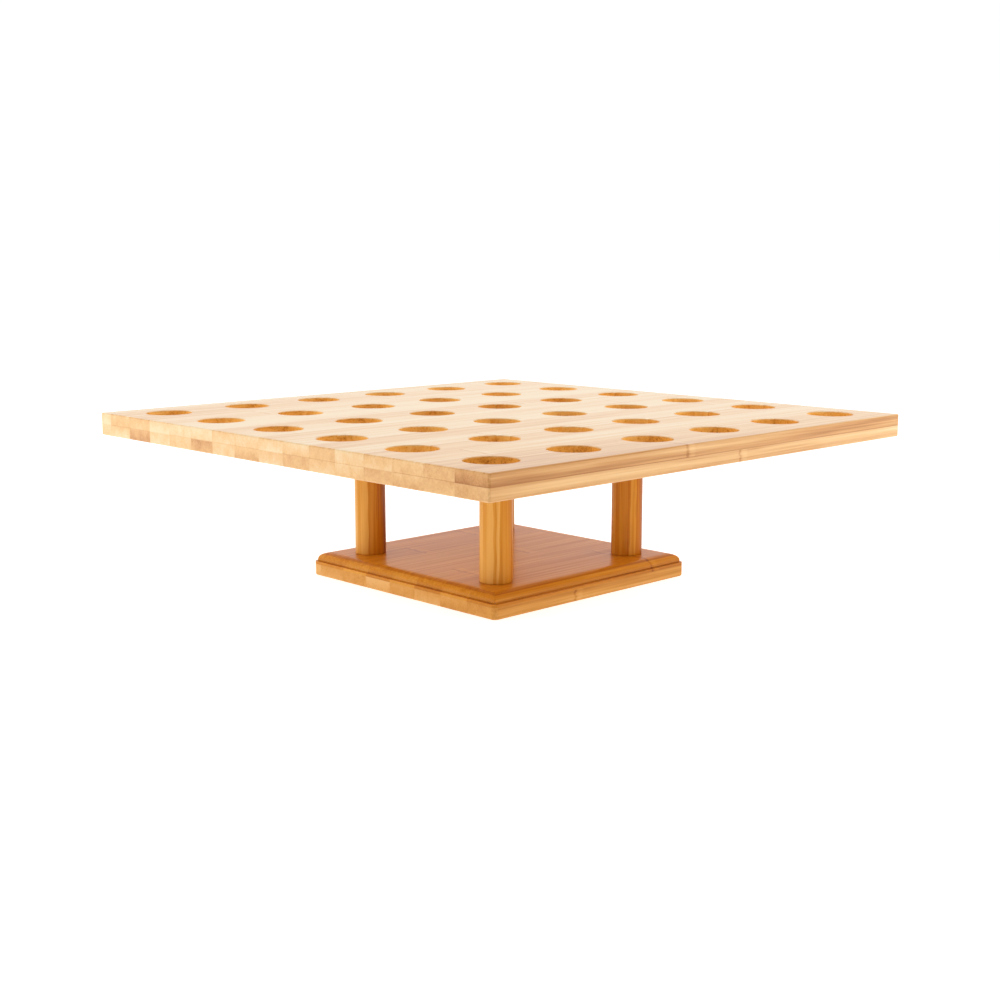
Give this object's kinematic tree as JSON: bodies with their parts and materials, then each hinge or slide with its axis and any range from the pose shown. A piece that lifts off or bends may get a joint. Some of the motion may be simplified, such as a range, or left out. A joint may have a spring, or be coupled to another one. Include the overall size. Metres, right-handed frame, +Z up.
{
  "type": "cone display stand",
  "caption": "Square bamboo stand that holds food or ice cream cones upright in a grid of round holes, on four round legs and a smaller base board with a moulded edge.",
  "frame": {"origin": "centre of the base board's underside, on the surface that the stand rests on", "axes": "+Z up out of the board; the boards' sides run along X and Y, and the bamboo strips run along X"},
  "size_m": [0.4, 0.4, 0.1172],
  "materials": {
    "top_bamboo": "clear gloss lacquer on pale honey bamboo",
    "base_bamboo": "clear gloss lacquer on darker honey bamboo",
    "leg_bamboo": "clear satin lacquer on laminated bamboo dowel",
    "pin_wood": "bare turned hardwood",
    "screw_steel": "bright zinc plating"
  },
  "bodies": {
    "root": {"base_lower_ply": "base_bamboo", "base_upper_ply": "base_bamboo", "top_lower_ply": "top_bamboo", "top_upper_ply": "top_bamboo", "leg_front_left": "leg_bamboo", "dowel_pin_front_left": "pin_wood", "base_screw_front_left": "screw_steel", "leg_front_right": "leg_bamboo", "dowel_pin_front_right": "pin_wood", "base_screw_front_right": "screw_steel", "leg_back_left": "leg_bamboo", "dowel_pin_back_left": "pin_wood", "base_screw_back_left": "screw_steel", "leg_back_right": "leg_bamboo", "dowel_pin_back_right": "pin_wood", "base_screw_back_right": "screw_steel"}
  },
  "joints": []
}
